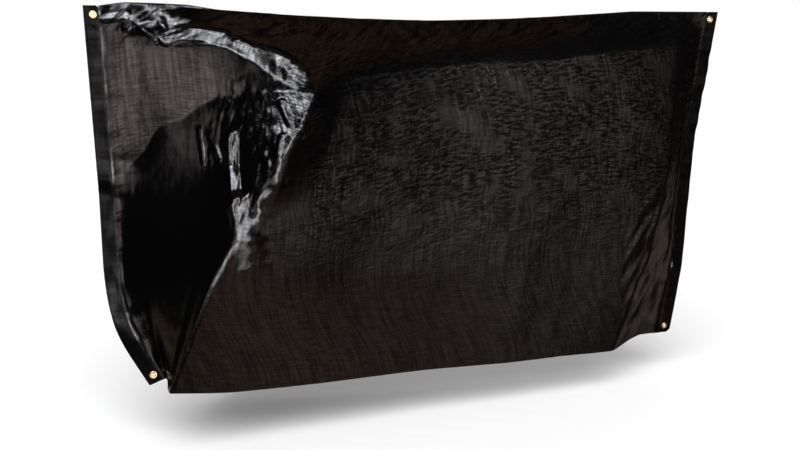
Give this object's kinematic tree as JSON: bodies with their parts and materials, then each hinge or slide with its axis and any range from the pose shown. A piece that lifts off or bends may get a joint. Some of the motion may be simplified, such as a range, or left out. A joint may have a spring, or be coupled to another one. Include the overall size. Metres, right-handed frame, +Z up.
{
  "type": "bicycle cover",
  "caption": "Black woven polyethylene bicycle cover: an open-bottomed bag with welded end seams and a brass eyelet in each corner, in its draped shape.",
  "frame": {"origin": "just under the top fold, midway between the two end seams, where the bicycle holds the cover up", "axes": "+X from the bicycle's front to its rear, -Y towards the near side, +Z up"},
  "size_m": [2.1, 0.5125, 1.1739],
  "materials": {
    "black_woven_sheet": "glossy coated weave",
    "brass": "bright stamped"
  },
  "bodies": {
    "root": {"cover": "black_woven_sheet", "seam_front": "black_woven_sheet", "seam_rear": "black_woven_sheet", "eyelet_front_top": "brass", "eyelet_front_foot": "brass", "eyelet_rear_top": "brass", "eyelet_rear_foot": "brass"}
  },
  "joints": []
}
